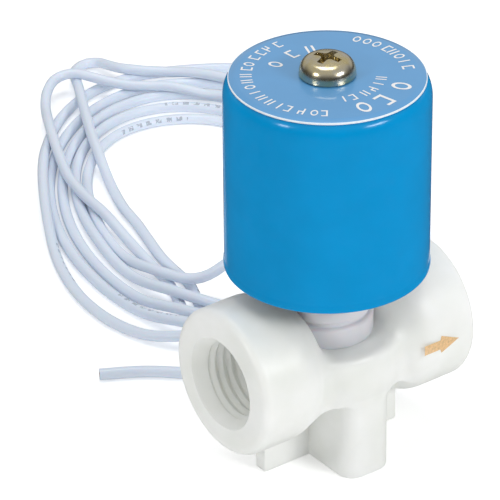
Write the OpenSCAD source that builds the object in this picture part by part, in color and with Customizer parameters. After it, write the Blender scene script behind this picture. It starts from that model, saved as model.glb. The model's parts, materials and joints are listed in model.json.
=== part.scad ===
// Two-way direct-acting solenoid valve, normally closed, for low-pressure water.
// Z is the valve's axis with 0 at the foot, X runs through the two ports and the flow goes to +X.
// Lengths are in millimetres.

/* [Body] */
// Height of the port axis above the foot
port_axis_z = 17.7; // [17:0.1:19]
// Distance between the two port faces
port_span = 38.9; // [38:0.1:44]
// Outer radius of each port boss
boss_r = 11.3; // [11:0.1:12]
// Minor radius of the 1/4 inch taper thread in each port
thread_r = 5.7; // [5.6:0.05:5.8]
// Radius of the countersink at each port's mouth
mouth_r = 7.15; // [6.9:0.05:7.4]
// Radius of the drum between the bosses
drum_r = 10.8; // [10:0.1:11.2]
// Height of the drum's top, where the neck starts
drum_top_z = 20.5; // [20.3:0.1:21]
// Diameter of the orifice in the seat
orifice_d = 2.5; // [1.5:0.1:2.6]
// Distance of each mounting screw hole from the axis
base_hole_y = 6.6; // [6:0.1:7]
// Radius of each mounting screw hole
base_hole_r = 1.6; // [1.2:0.1:1.8]

/* [Neck and core] */
// Radius of the neck's rings
neck_r = 6.9; // [6.6:0.1:7.2]
// Outer radius of the core tube
tube_r = 4.5; // [4.4:0.05:4.55]
// Wall of the core tube
tube_wall = 0.4; // [0.3:0.05:0.5]
// Lift of the plunger off the seat
stroke = 1.5; // [1:0.1:2]

/* [Coil can] */
// Outer radius of the can
can_r = 15; // [14.8:0.1:16]
// Height of the can
can_h = 30.4; // [30:0.1:31]
// Sheet thickness of the can
can_wall = 0.8; // [0.6:0.1:1]
// Direction of the leads' exit, counted from +X
lead_angle = 52; // [0:1:359]

/* [Screw] */
// Radius of the screw's head
head_r = 4.1; // [3.8:0.1:4.2]
// Height of the screw's head
head_h = 3; // [2.4:0.1:3.2]

/* [Leads] */
// Diameter of each lead
lead_d = 1.8; // [1.6:0.1:1.8]
// Distance between the two leads where they leave the can
lead_pitch = 2.4; // [2.4:0.1:2.6]

/* [Hidden] */
$fn = 64;

// A small overlap for cuts that run out through a face.
cut = 0.1;

// Body
face_x = port_span / 2;
boss_in_x = 10.6;
boss_edge_r = 1.5;
boss_cone_x = 7;
boss_cone_r = 7.4;
bore_end_x = 7.95;
sink_x = face_x - (mouth_r - thread_r) / 0.52;
drum_z = 12.7;
seat_z = 17.4;
seat_r = 1.75;
nozzle_r = 2.3;
chamber_r = 4.2;
chamber_z = 15.4;
inlet_z = 16.7;
inlet_r = 1.2;
outlet_z = 13.7;
outlet_r = orifice_d / 2;
socket_z = 17.9;
socket_r = 6.02;
foot_web_x = 12.4;
foot_web_w = 2.4;
foot_x = 4.2;
foot_y = 10.9;
foot_corner_r = 2.7;
base_hole_z = 9;

// Neck and core
spigot_r = 6;
flange_r = 5.15;
flange_z = 18.8;
flange_t = 0.5;
ring_z = 23.8;
groove_z = 24.5;
groove_r = 6.3;
neck_top_z = 30.9;
bore_r = tube_r - tube_wall;
tube_top_z = 59.5;
o_ring_r = 0.45;
o_ring_mid_r = 4.7;
plunger_r = bore_r - 0.05;
plunger_z = 18.2;
plunger_top_z = 43.5;
seal_r = 2.1;
seal_top_z = 19.6;
spring_pocket_r = 2.3;
spring_pocket_z = 36;
flute_w = 1.2;
flute_depth = 0.5;
core_z = plunger_top_z + stroke;
core_gap = 0.02;

// Spring
spring_turns = 7;
spring_r = 1.8;
spring_wire_r = 0.2;

// Can
can_z = 31.5;
can_top_z = can_z + can_h;
can_in_r = can_r - can_wall;
roof_z = can_top_z - can_wall;
can_shoulder_r = 1.6;
can_shoulder_h = 3;
can_bead = 0.15;
can_bead_h = 1.1;
screw_hole_r = 2.2;
lead_z = 36.6;

// Coil
hub_bore_r = 4.6;
hub_r = 5.4;
spool_r = 13.4;
spool_z = 33.7;
spool_flange = 1.2;
winding_z = 39.2;
winding_top_z = 59.2;
winding_r = 12.6;
tape_t = 0.2;
pin_r = 0.4;
pin_at = 9.5;
pin_z = 33.9;
pin_top_z = 38;
plate_z = 32.2;
plate_r = 14.15;
washer_t = 0.4;
washer_rise = 0.9;
sleeve_wall = 0.25;
sleeve_at = 10.6;
sleeve_len = 2;

// Grommet
grommet_half = 1.5;
grommet_in = 13.5;
grommet_out = 16.2;
grommet_lip = 2.2;
slot_gap = 0.05;

// Label and screw
label_r = 14.2;
label_t = 0.3;
shank_r = 1.98;
shank_len = 10;
thread_hole_r = 2;
recess_w = 1;
recess_span = 4.4;
recess_depth = 1.9;
recess_turn = 20;

// Leads: r is to the right and d is away, in the direction of the exit.
lead_r = lead_d / 2;
lay_turn = lead_angle - 90;
run_a = [[-1.2, 16.2, 36.6], [-1.2, 19, 36.5], [-1.3, 22, 35.9], [-1.4, 25, 34.2], [-1.5, 28, 31],
    [-1.6, 31, 26.6], [-1.6, 34.5, 21], [-1.6, 38.5, 15.4], [-1.8, 42, 10.8], [-2.2, 44.8, 8],
    [-3.2, 47.5, 6.4]];
run_b = [[1.2, 16.2, 36.6], [1.2, 19, 36.5], [1.2, 22, 35.8], [1.2, 25, 34], [1.2, 28, 30.7],
    [1.3, 31, 26.2], [1.5, 34.5, 20.6], [1.8, 38.5, 15], [2.2, 42.5, 10.4], [2.5, 45.5, 7.8],
    [2.7, 49, 6.4]];
tail_a = [[-9.8, 84, 0.9], [-9, 78, 0.9], [-8.7, 72, 0.9]];
tail_b = [[15.4, 42, 0.9], [13, 34, 0.9], [8, 27, 0.9], [1, 22.6, 0.9], [-7, 20.8, 0.9],
    [-14.5, 20.4, 0.9], [-22.2, 20, 0.9], [-28.7, 18.8, 0.9], [-35, 17, 0.9]];
// The coil's outer and inner outlines: middle r and d, half width, half length, turn, squareness.
coil_outer = [-18.5, 72.8, 32.5, 46, 9, 2.7];
coil_inner = [-20, 71, 16.5, 26, 15, 2.2];
coil_h = 5.4;
coil_steps = 48;

// Points of an arc about [x, y] from angle a0 to a1.
function arc(x, y, r, a0, a1, n) =
    [for (i = [0:n]) let (a = a0 + (a1 - a0) * i / n) [x + r * cos(a), y + r * sin(a)]];

// Unit vector, and the direction of a route at its point i.
function unit(v) = v / norm(v);
function heading(path, i) =
    unit(path[min(i + 1, len(path) - 1)] - path[max(i - 1, 0)]);
// A side vector that stays level, so the rings of a tube don't turn about it.
function side_of(t) = abs(t[2]) > 0.99 ? [1, 0, 0] : unit(cross(t, [0, 0, 1]));

// A tube swept along a route, with flat ends.
module tube_along(path, r, sides) {
    rings = [for (i = [0:len(path) - 1])
        let (t = heading(path, i), s = side_of(t), u = cross(s, t))
        for (k = [0:sides - 1])
            path[i] + r * (cos(360 * k / sides) * s + sin(360 * k / sides) * u)];
    last = (len(path) - 1) * sides;
    walls = [for (i = [0:len(path) - 2]) for (k = [0:sides - 1])
        let (a = i * sides + k, b = i * sides + (k + 1) % sides)
        [a, a + sides, b + sides, b]];
    near_end = [for (k = [0:sides - 1]) k];
    far_end = [for (k = [sides - 1:-1:0]) last + k];
    polyhedron(rings, concat(walls, [near_end, far_end]));
}

// A lead swept in the frame that its exit points along.
module lead(path) {
    color("lightsteelblue") rotate([0, 0, lay_turn]) tube_along(path, lead_r, 8);
}

// A rounded oblong outline in the coil's plane.
module oblong(o) {
    translate([o[0], o[1]]) rotate(o[4])
        polygon([for (i = [0:coil_steps - 1]) let (a = 360 * i / coil_steps, c = cos(a), s = sin(a))
            [o[2] * sign(c) * pow(abs(c), 2 / o[5]), o[3] * sign(s) * pow(abs(s), 2 / o[5])]]);
}

// A round ring or disc between two radii and two heights.
module ring(r_in, r_out, z0, z1) {
    rotate_extrude() polygon([[r_in, z0], [r_out, z0], [r_out, z1], [r_in, z1]]);
}

// Children are placed at the leads' exit: +X outwards, Y across the pair.
module at_exit() {
    rotate([0, 0, lead_angle]) translate([0, 0, lead_z]) children();
}

// An oblong bar along the exit, with half height h and the ends' centres at the outer leads.
module oblong_bar(x0, x1, h, half_w) {
    for (side = [-1, 1])
        translate([x0, side * half_w, 0]) rotate([0, 90, 0]) cylinder(h = x1 - x0, r = h);
    translate([x0, -half_w, -h]) cube([x1 - x0, 2 * half_w, 2 * h]);
}

// One port boss on the +X side, with a cone towards the drum and a rounded front edge.
module port_boss() {
    rotate([0, 90, 0]) rotate_extrude()
        polygon(concat([[0, boss_cone_x], [boss_cone_r, boss_cone_x], [boss_r, boss_in_x]],
            arc(boss_r - boss_edge_r, face_x - boss_edge_r, boss_edge_r, 0, 90, 8),
            [[0, face_x]]));
}

// The bore of one port on the +X side: thread and countersink.
module port_bore() {
    rotate([0, 90, 0]) {
        translate([0, 0, bore_end_x]) cylinder(h = face_x - bore_end_x + cut, r = thread_r);
        translate([0, 0, sink_x])
            cylinder(h = face_x - sink_x + cut, r1 = thread_r, r2 = mouth_r + cut);
    }
}

module foot() {
    translate([-foot_web_x, -foot_web_w / 2, 0]) cube([2 * foot_web_x, foot_web_w, drum_z + 1]);
    translate([-foot_x, foot_corner_r - foot_y, 0])
        cube([2 * foot_x, 2 * (foot_y - foot_corner_r), drum_z + 1]);
    translate([foot_corner_r - foot_x, -foot_y, 0])
        cube([2 * (foot_x - foot_corner_r), 2 * foot_y, drum_z + 1]);
    for (x = [-1, 1]) for (y = [-1, 1])
        translate([x * (foot_x - foot_corner_r), y * (foot_y - foot_corner_r), 0])
            cylinder(h = drum_z + 1, r = foot_corner_r);
}

module valve_body() {
    color("ivory") {
        difference() {
            union() {
                translate([0, 0, drum_z]) cylinder(h = drum_top_z - drum_z, r = drum_r);
                translate([0, 0, port_axis_z]) port_boss();
                translate([0, 0, port_axis_z]) mirror([1, 0, 0]) port_boss();
                foot();
            }
            translate([0, 0, port_axis_z]) port_bore();
            translate([0, 0, port_axis_z]) mirror([1, 0, 0]) port_bore();
            translate([0, 0, socket_z]) cylinder(h = boss_r, r = socket_r);
            // The chamber is a ring round the nozzle.
            ring(nozzle_r, chamber_r, chamber_z, socket_z + cut);
            translate([0, 0, seat_z]) cylinder(h = 1, r = nozzle_r + cut);
            translate([0, 0, outlet_z]) cylinder(h = seat_z, r = orifice_d / 2);
            translate([0, 0, outlet_z]) rotate([0, 90, 0]) cylinder(h = bore_end_x + cut, r = outlet_r);
            translate([-bore_end_x - cut, 0, inlet_z]) rotate([0, 90, 0])
                cylinder(h = bore_end_x + cut - chamber_r + 0.9, r = inlet_r);
            for (y = [-1, 1])
                translate([0, y * base_hole_y, -cut]) cylinder(h = base_hole_z + cut, r = base_hole_r);
        }
    }
}

module bonnet() {
    color("gainsboro") rotate_extrude()
        polygon([[tube_r + 0.05, flange_z + flange_t], [flange_r + 0.03, flange_z + flange_t],
            [flange_r + 0.03, socket_z + 0.05], [spigot_r, socket_z + 0.05], [spigot_r, drum_top_z],
            [neck_r, drum_top_z], [neck_r, ring_z - 0.3], [neck_r - 0.3, ring_z],
            [groove_r, ring_z], [groove_r, groove_z], [neck_r - 0.3, groove_z],
            [neck_r - 0.15, groove_z + 0.2], [neck_r - 0.15, neck_top_z], [tube_r + 0.05, neck_top_z]]);
}

module core_tube() {
    color("silver") {
        ring(bore_r, tube_r, flange_z, tube_top_z);
        ring(bore_r, flange_r, flange_z, flange_z + flange_t);
    }
}

module core_o_ring() {
    color("dimgray") translate([0, 0, socket_z + o_ring_r])
        rotate_extrude() translate([o_ring_mid_r, 0]) circle(r = o_ring_r, $fn = 32);
}

module fixed_core() {
    color("darkgray") difference() {
        translate([0, 0, core_z]) cylinder(h = roof_z - core_z, r = bore_r - core_gap);
        translate([0, 0, roof_z - shank_len]) cylinder(h = shank_len + cut, r = thread_hole_r);
    }
}

module plunger() {
    color("slategray") difference() {
        translate([0, 0, plunger_z]) cylinder(h = plunger_top_z - plunger_z, r = plunger_r);
        translate([0, 0, plunger_z - cut]) cylinder(h = seal_top_z - plunger_z + cut, r = seal_r);
        translate([0, 0, spring_pocket_z])
            cylinder(h = plunger_top_z - spring_pocket_z + cut, r = spring_pocket_r);
        for (side = [0, 180]) rotate([0, 0, side])
            translate([plunger_r - flute_depth, -flute_w / 2, plunger_z - cut])
                cube([1, flute_w, plunger_top_z - plunger_z + 2 * cut]);
    }
}

module plunger_seal() {
    color("saddlebrown") translate([0, 0, seat_z]) cylinder(h = seal_top_z - seat_z, r = seal_r);
}

module plunger_spring() {
    low = spring_pocket_z + spring_wire_r;
    high = core_z - spring_wire_r;
    steps = 12 * spring_turns;
    color("lightgray") tube_along([for (i = [0:steps]) let (a = 30 * i)
        [spring_r * cos(a), spring_r * sin(a), low + (high - low) * i / steps]], spring_wire_r, 6);
}

module coil_bobbin() {
    color("whitesmoke") difference() {
        union() {
            ring(hub_bore_r, hub_r, spool_z, winding_top_z + spool_flange);
            ring(hub_bore_r, spool_r, spool_z, spool_z + spool_flange);
            ring(hub_bore_r, spool_r, winding_z - 1, winding_z);
            ring(hub_bore_r, spool_r, winding_top_z, winding_top_z + spool_flange);
        }
        pins();
    }
}

module coil_winding() {
    color("chocolate") ring(hub_r, winding_r, winding_z, winding_top_z);
}

module winding_tape() {
    color("khaki") ring(winding_r, winding_r + tape_t, winding_z, winding_top_z);
}

module pins() {
    rotate([0, 0, lead_angle]) for (side = [-1, 1])
        translate([pin_at, side * lead_pitch / 2, pin_z]) cylinder(h = pin_top_z - pin_z, r = pin_r);
}

module terminal_pins() {
    color("goldenrod") pins();
}

module solder_sleeves() {
    color("red") at_exit() for (side = [-1, 1])
        translate([sleeve_at, side * lead_pitch / 2, 0]) rotate([0, 90, 0])
            ring(lead_r, lead_r + sleeve_wall, 0, sleeve_len);
}

module inner_leads() {
    color("lightsteelblue") at_exit() for (side = [-1, 1])
        translate([pin_at + pin_r, side * lead_pitch / 2, 0]) rotate([0, 90, 0])
            cylinder(h = grommet_out - pin_at - pin_r, r = lead_r);
}

module lead_grommet() {
    color("black") difference() {
        union() {
            at_exit() oblong_bar(grommet_in, grommet_out, grommet_half, grommet_half);
            difference() {
                at_exit() oblong_bar(can_r - 1, grommet_out, grommet_lip, grommet_half);
                translate([0, 0, can_z]) cylinder(h = can_h, r = can_r + 0.01);
            }
        }
        at_exit() for (side = [-1, 1])
            translate([grommet_in - cut, side * lead_pitch / 2, 0]) rotate([0, 90, 0])
                cylinder(h = grommet_out - grommet_in + 2 * cut, r = lead_r);
    }
}

module flux_plate() {
    color("gray") ring(hub_bore_r, plate_r, plate_z, spool_z);
}

module wave_washer() {
    color("silver") rotate_extrude()
        polygon([[tube_r + 0.2, neck_top_z + washer_rise], [neck_r - 0.3, neck_top_z],
            [neck_r - 0.3, neck_top_z + washer_t], [tube_r + 0.2, plate_z]]);
}

module insulating_washer() {
    color("tan") ring(hub_bore_r, spool_r, winding_top_z + spool_flange, roof_z);
}

module coil_housing() {
    color("deepskyblue") difference() {
        rotate_extrude()
            polygon(concat([[can_r + can_bead, can_z], [can_r + can_bead, can_z + can_bead_h],
                [can_r, can_z + can_bead_h + 0.6]],
                [for (i = [0:10]) let (a = 9 * i) [can_r - can_shoulder_r * (1 - cos(a)),
                    can_top_z - can_shoulder_h * (1 - sin(a))]],
                [[screw_hole_r, can_top_z], [screw_hole_r, roof_z], [can_in_r - 0.5, roof_z],
                [can_in_r, roof_z - 0.5], [can_in_r, can_z]]));
        at_exit() oblong_bar(grommet_in - 1, can_r + 1, grommet_half + slot_gap, grommet_half);
    }
}

module name_label() {
    color("steelblue") ring(screw_hole_r, label_r, can_top_z, can_top_z + label_t);
}

module housing_screw() {
    seat = can_top_z + label_t;
    color("gold") difference() {
        union() {
            translate([0, 0, seat]) rotate_extrude()
                polygon(concat([[0, 0], [head_r, 0], [head_r, head_h * 0.35]],
                    [for (i = [1:8]) let (a = 90 * i / 8)
                        [head_r * (0.55 + 0.45 * cos(a)), head_h * (0.35 + 0.61 * sin(a))]],
                    [[0, head_h]]));
            translate([0, 0, seat - shank_len]) cylinder(h = shank_len + cut, r = shank_r);
        }
        translate([0, 0, seat + head_h - recess_depth]) rotate([0, 0, recess_turn]) {
            translate([-recess_span / 2, -recess_w / 2, 0]) cube([recess_span, recess_w, head_h]);
            translate([-recess_w / 2, -recess_span / 2, 0]) cube([recess_w, recess_span, head_h]);
        }
    }
}

module lead_wire_a() { lead(run_a); }
module lead_wire_b() { lead(run_b); }
module lead_tail_a() { lead(tail_a); }
module lead_tail_b() { lead(tail_b); }

module lead_coil() {
    color("lightsteelblue") rotate([0, 0, lay_turn]) linear_extrude(coil_h) difference() {
        oblong(coil_outer);
        oblong(coil_inner);
    }
}

valve_body();
bonnet();
core_tube();
core_o_ring();
fixed_core();
plunger();
plunger_seal();
plunger_spring();
coil_bobbin();
coil_winding();
winding_tape();
terminal_pins();
solder_sleeves();
inner_leads();
lead_grommet();
flux_plate();
wave_washer();
insulating_washer();
coil_housing();
name_label();
housing_screw();
lead_wire_a();
lead_wire_b();
lead_coil();
lead_tail_a();
lead_tail_b();
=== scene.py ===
"""The looks of a small solenoid valve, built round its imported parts."""
import json
import math

import bmesh
import bpy
import numpy as np
from mathutils import Matrix, Vector


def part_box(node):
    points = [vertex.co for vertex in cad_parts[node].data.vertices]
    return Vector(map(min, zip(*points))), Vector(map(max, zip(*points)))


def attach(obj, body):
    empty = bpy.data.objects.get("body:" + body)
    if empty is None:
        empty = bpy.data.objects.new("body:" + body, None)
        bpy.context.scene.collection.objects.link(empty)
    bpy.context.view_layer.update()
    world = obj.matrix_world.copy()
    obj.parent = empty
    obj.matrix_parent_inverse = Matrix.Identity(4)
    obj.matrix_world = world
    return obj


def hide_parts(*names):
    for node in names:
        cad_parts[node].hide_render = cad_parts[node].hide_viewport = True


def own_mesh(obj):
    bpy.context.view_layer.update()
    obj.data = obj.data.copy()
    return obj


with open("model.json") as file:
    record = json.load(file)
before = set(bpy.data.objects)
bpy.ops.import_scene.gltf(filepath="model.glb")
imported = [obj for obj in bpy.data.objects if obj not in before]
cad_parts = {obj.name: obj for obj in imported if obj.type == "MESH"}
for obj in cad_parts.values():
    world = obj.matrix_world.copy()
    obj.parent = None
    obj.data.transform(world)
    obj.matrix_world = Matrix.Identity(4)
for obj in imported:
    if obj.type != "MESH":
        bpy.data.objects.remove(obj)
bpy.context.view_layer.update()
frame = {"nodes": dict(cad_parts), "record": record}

bl_info = {
    "name": "Solenoid valve",
    "version": (1, 0, 0),
    "blender": (4, 5, 0),
    "location": "3D View > Sidebar > Valve",
    "description": "Builds the finished pieces of a small solenoid valve round its packed parts",
    "category": "Object",
}

MM = 0.001
VALVE = "valve"


def srgb(text):
    """A linear colour from an sRGB hex value."""
    parts = [int(text[i:i + 2], 16) / 255 for i in (1, 3, 5)]
    return [c / 12.92 if c <= 0.04045 else ((c + 0.055) / 1.055) ** 2.4 for c in parts]


def box_mm(node):
    """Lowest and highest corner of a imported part, in millimetres."""
    low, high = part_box(node)
    return np.array(low) / MM, np.array(high) / MM


# ---------------------------------------------------------------- sizes from the frame, in mm
BODY_LOW, BODY_HIGH = box_mm("valve_body")
CAN_LOW, CAN_HIGH = box_mm("coil_housing")
LABEL_LOW, LABEL_HIGH = box_mm("name_label")
NECK_LOW, NECK_HIGH = box_mm("bonnet")
SCREW_LOW, SCREW_HIGH = box_mm("housing_screw")
SPRING_LOW, SPRING_HIGH = box_mm("plunger_spring")
MOUNTS = {m["name"]: m for m in frame["record"]["mounts"]}
PORT_X = BODY_HIGH[0]
PORT_Z = MOUNTS["outlet_port"]["pos_m"][2] / MM
MINOR_R = MOUNTS["outlet_port"]["dims"]["r_mm"]
BOSS_R = BODY_HIGH[1]
SCREW_HOLE_R = MOUNTS["base_screws"]["dims"]["hole_r_mm"]
SCREW_HOLE_Y = MOUNTS["base_screws"]["dims"]["spacing_y_mm"] / 2
NECK_R = NECK_HIGH[0]
CAN_R = CAN_HIGH[0] - 0.15
LABEL_R = LABEL_HIGH[0]
HEAD_R = SCREW_HIGH[0]
EXIT_Z = (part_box("lead_grommet")[0].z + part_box("lead_grommet")[1].z) / 2 / MM

# The leads' own frame: r to the right of the exit and d away from the can.
LAY_TURN = -38
LEAD_D = 1.8


# ---------------------------------------------------------------- meshes
def obj_from(name, points, faces, scale=MM):
    """A mesh object at the origin from points in millimetres."""
    mesh = bpy.data.meshes.new(name)
    mesh.from_pydata((np.asarray(points, float) * scale).tolist(), [], [tuple(f) for f in faces])
    mesh.update()
    made = bpy.data.objects.new(name, mesh)
    bpy.context.scene.collection.objects.link(made)
    return made


def smooth(made, angle=40):
    """Smooth shading with edges kept sharp past an angle in degrees."""
    made.data.polygons.foreach_set("use_smooth", [True] * len(made.data.polygons))
    made.data.set_sharp_from_angle(angle=math.radians(angle))
    return made


def outwards(made):
    """Merges doubles and points the faces outwards."""
    bm = bmesh.new()
    bm.from_mesh(made.data)
    bmesh.ops.remove_doubles(bm, verts=bm.verts, dist=1e-7)
    bmesh.ops.recalc_face_normals(bm, faces=bm.faces)
    bm.to_mesh(made.data)
    bm.free()
    return made


def baked(made):
    """Turns what the modifiers make into a plain mesh."""
    bpy.context.view_layer.update()
    shape = bpy.data.meshes.new_from_object(made.evaluated_get(bpy.context.evaluated_depsgraph_get()))
    made.modifiers.clear()
    made.data = shape
    return made


def cut_away(made, *tools):
    """Cuts closed meshes out of a closed mesh."""
    for tool in tools:
        boolean = made.modifiers.new("cut", "BOOLEAN")
        boolean.operation, boolean.solver, boolean.object = "DIFFERENCE", "MANIFOLD", tool
    baked(made)
    for tool in tools:
        bpy.data.objects.remove(tool)
    return made


def joined(name, parts):
    """One mesh object from several."""
    bm = bmesh.new()
    for part in parts:
        bm.from_mesh(part.data)
        bpy.data.objects.remove(part)
    mesh = bpy.data.meshes.new(name)
    bm.to_mesh(mesh)
    bm.free()
    made = bpy.data.objects.new(name, mesh)
    bpy.context.scene.collection.objects.link(made)
    return made


def rounded(corners, steps=6):
    """An outline of (r, z, radius) corners, with an arc in place of each corner that has a radius."""
    out = []
    for i, (x, y, radius) in enumerate(corners):
        here = np.array((x, y), float)
        before = np.array(corners[i - 1][:2], float) - here
        after = np.array(corners[(i + 1) % len(corners)][:2], float) - here
        if not radius:
            out.append(tuple(here))
            continue
        before, after = before / np.linalg.norm(before), after / np.linalg.norm(after)
        half = math.acos(np.clip(before @ after, -1, 1)) / 2
        middle = (before + after) / np.linalg.norm(before + after)
        centre = here + middle * radius / math.sin(half)
        first = here + before * radius / math.tan(half) - centre
        last = here + after * radius / math.tan(half) - centre
        for k in range(steps + 1):
            spot = first * (steps - k) + last * k
            out.append(tuple(centre + spot / np.linalg.norm(spot) * radius))
    return out


def lathe(name, outline, segments=144):
    """Turns a closed outline of (r, z) about the valve's axis."""
    around = np.arange(segments) * 2 * math.pi / segments
    points, rows = [], []
    for r, z in outline:
        if r < 1e-6:
            rows.append([len(points)] * segments)
            points.append((0, 0, z))
        else:
            rows.append(list(range(len(points), len(points) + segments)))
            points += [(r * math.cos(a), r * math.sin(a), z) for a in around]
    faces = []
    for i, row in enumerate(rows):
        nxt = rows[(i + 1) % len(rows)]
        for k in range(segments):
            m = (k + 1) % segments
            face = list(dict.fromkeys((row[k], row[m], nxt[m], nxt[k])))
            if len(face) > 2:
                faces.append(face)
    return smooth(outwards(obj_from(name, points, faces)))


def painted(made, material):
    """Gives a piece one material all over."""
    made.data.materials.clear()
    made.data.materials.append(material)
    made.data.polygons.foreach_set("material_index", [0] * len(made.data.polygons))
    return made


def turned(made, matrix):
    """Places a mesh by moving its points, so that its object stays at the origin."""
    made.data.transform(matrix)
    if matrix.determinant() < 0:
        made.data.flip_normals()
    return made


def surface_net(name, field, low, high, step):
    """The surface where a field of distances in mm crosses zero, as a closed mesh of quads."""
    counts = [int(math.ceil((h - l) / step)) + 1 for l, h in zip(low, high)]
    axes = [l + step * np.arange(n) for l, n in zip(low, counts)]
    grid = np.stack(np.meshgrid(*axes, indexing="ij"), -1)
    f = field(grid)
    inside = f < 0
    cells = tuple(n - 1 for n in counts)
    total, hits = np.zeros(cells + (3,)), np.zeros(cells)
    for axis in range(3):
        a, b = np.take(f, range(counts[axis] - 1), axis), np.take(f, range(1, counts[axis]), axis)
        crossing = (a < 0) != (b < 0)
        share = np.where(crossing, a / np.where(crossing, a - b, 1), 0)
        others = [k for k in range(3) if k != axis]
        for p in (0, 1):
            for q in (0, 1):
                window = [slice(None)] * 3
                window[others[0]] = slice(p, counts[others[0]] - 1 + p)
                window[others[1]] = slice(q, counts[others[1]] - 1 + q)
                hit, part = crossing[tuple(window)], share[tuple(window)]
                total[..., axis] += hit * part
                total[..., others[0]] += hit * p
                total[..., others[1]] += hit * q
                hits += hit
    mixed = hits > 0
    index = np.full(cells, -1)
    index[mixed] = np.arange(mixed.sum())
    points = np.argwhere(mixed) + total[mixed] / hits[mixed][:, None]
    points = points * step + np.array(low)
    quads = []
    for axis in range(3):
        u, v = [(1, 2), (2, 0), (0, 1)][axis]
        edge = [slice(1, -1)] * 3
        edge[axis] = slice(0, counts[axis] - 1)
        ahead = list(edge)
        ahead[axis] = slice(1, counts[axis])
        first, second = inside[tuple(edge)], inside[tuple(ahead)]
        spots = np.argwhere(first != second)
        leaving = first[tuple(spots.T)]
        spots = spots + np.array([0 if k == axis else 1 for k in range(3)])
        ring = []
        for du, dv in ((0, 0), (-1, 0), (-1, -1), (0, -1)):
            at = spots.copy()
            at[:, u] += du
            at[:, v] += dv
            ring.append(index[tuple(at.T)])
        ring = np.stack(ring, 1)
        quads.append(np.where(leaving[:, None], ring, ring[:, ::-1]))
    for _ in range(3):
        here = field(points)
        slope = np.stack([field(points + d) - field(points - d) for d in np.eye(3) * 0.02], -1) / 0.04
        size = np.maximum((slope * slope).sum(-1), 0.2)
        move = (here / size)[:, None] * slope
        points = points - np.clip(move, -step / 2, step / 2)
    return outwards(obj_from(name, points, np.concatenate(quads).tolist()))


# ---------------------------------------------------------------- distance fields, in mm
def soft_min(a, b, k):
    """Joins two solids with a fillet about k wide."""
    h = np.clip(0.5 + 0.5 * (b - a) / k, 0, 1)
    return b + (a - b) * h - k * h * (1 - h)


def rod(p, axis, centre, radius, half, edge):
    """A round bar along an axis, with rounded ends."""
    q = p - np.array(centre)
    along = np.abs(q[..., axis]) - half + edge
    others = [k for k in range(3) if k != axis]
    across = np.hypot(q[..., others[0]], q[..., others[1]]) - radius + edge
    out = np.hypot(np.maximum(along, 0), np.maximum(across, 0))
    return out + np.minimum(np.maximum(along, across), 0) - edge


def block(p, centre, half, edge, corner=0.0):
    """A block with rounded edges, and rounder corners where it stands."""
    q = np.abs(p - np.array(centre)) - np.array(half)
    plan = np.stack([q[..., 0], q[..., 1]], -1) + corner
    flat = np.linalg.norm(np.maximum(plan, 0), axis=-1) + np.minimum(plan.max(-1), 0) - corner
    two = np.stack([flat, q[..., 2]], -1) + edge
    return np.linalg.norm(np.maximum(two, 0), axis=-1) + np.minimum(two.max(-1), 0) - edge


# ---------------------------------------------------------------- materials
def add_node(tree, kind, settings=None, inputs=None):
    """Adds a node. An input is a value, or the socket that feeds it."""
    node = tree.nodes.new(kind)
    for key, value in (settings or {}).items():
        setattr(node, key, value)
    for key, value in (inputs or {}).items():
        if isinstance(value, bpy.types.NodeSocket):
            tree.links.new(value, node.inputs[key])
        else:
            node.inputs[key].default_value = value
    return node


def finish_named(name, colour, **sockets):
    """A material of one Principled shader, with its sockets set; returns it, its tree and shader."""
    made = bpy.data.materials.new(name)
    made.use_nodes = True
    tree = made.node_tree
    tree.nodes.clear()
    shader = add_node(tree, "ShaderNodeBsdfPrincipled", None, {"Base Color": (*colour, 1)})
    for key, value in sockets.items():
        shader.inputs[key.replace("_", " ")].default_value = value
    add_node(tree, "ShaderNodeOutputMaterial", None, {"Surface": shader.outputs[0]})
    made.diffuse_color = (*colour, 1)
    return made, tree, shader


def grain(tree, size_mm, stretch=(1, 1, 1), detail=3.0):
    """A noise pattern on the piece, with grains of a real size."""
    place = add_node(tree, "ShaderNodeTexCoord").outputs["Object"]
    scaled = add_node(tree, "ShaderNodeMapping", None, {"Vector": place, "Scale": stretch})
    return add_node(tree, "ShaderNodeTexNoise", None, {
        "Vector": scaled.outputs[0], "Scale": 1 / (size_mm * MM), "Detail": detail}).outputs["Fac"]


def spread_over(tree, factor, low, high):
    """Maps a pattern's middle range to values between low and high."""
    return add_node(tree, "ShaderNodeMapRange", None, {
        "Value": factor, "From Min": 0.3, "From Max": 0.7, "To Min": low, "To Max": high}).outputs[0]


def bump(tree, shader, height, depth_mm):
    """Bump of a real depth on a shader."""
    raised = add_node(tree, "ShaderNodeBump", None, {
        "Height": height, "Distance": depth_mm * MM, "Strength": 1.0})
    tree.links.new(raised.outputs[0], shader.inputs["Normal"])


def tint(tree, shader, factor, colour_a, colour_b):
    """Colours a shader between two colours by a pattern."""
    mix = add_node(tree, "ShaderNodeMix", {"data_type": "RGBA"}, {0: factor})
    mix.inputs[6].default_value = (*colour_a, 1)
    mix.inputs[7].default_value = (*colour_b, 1)
    tree.links.new(mix.outputs[2], shader.inputs["Base Color"])


def natural_nylon(props):
    """Natural nylon, injection moulded: milky white, lets light in a few millimetres."""
    made, tree, shader = finish_named(
        "Natural nylon, moulded", props.colour, IOR=1.53, Roughness=0.36,
        Subsurface_Weight=props.milkiness, Subsurface_Scale=4 * MM)
    shader.inputs["Subsurface Radius"].default_value = (1.0, 0.96, 0.9)
    tint(tree, shader, spread_over(tree, grain(tree, 9), 0, 1), props.colour, srgb("#E9EBE6"))
    tree.links.new(spread_over(tree, grain(tree, 2.5), 0.3, 0.44), shader.inputs["Roughness"])
    bump(tree, shader, grain(tree, 0.5), 0.012)
    return made


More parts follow.
